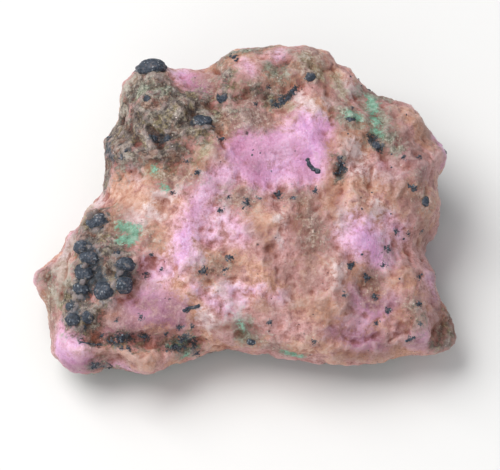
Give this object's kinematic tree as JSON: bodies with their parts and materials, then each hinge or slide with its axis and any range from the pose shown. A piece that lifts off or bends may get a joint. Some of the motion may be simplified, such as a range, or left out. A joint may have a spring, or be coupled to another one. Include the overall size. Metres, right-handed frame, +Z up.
{
  "type": "raw ruby mineral specimen",
  "caption": "Rough lump of pink and lilac stone with blue-black mineral balls and green patches grown on it, lying on its flattest side.",
  "frame": {"origin": "on the table, under the middle of the stone's bounding box", "axes": "+X along the longest way across the stone, +Z up from the side it lies on; its broad face slopes up and away from -Y"},
  "size_m": [0.0422, 0.0356, 0.0152],
  "materials": {
    "stone": "dull waxy pink, with rough grain"
  },
  "bodies": {
    "root": {"raw_ruby": "stone"}
  },
  "joints": []
}
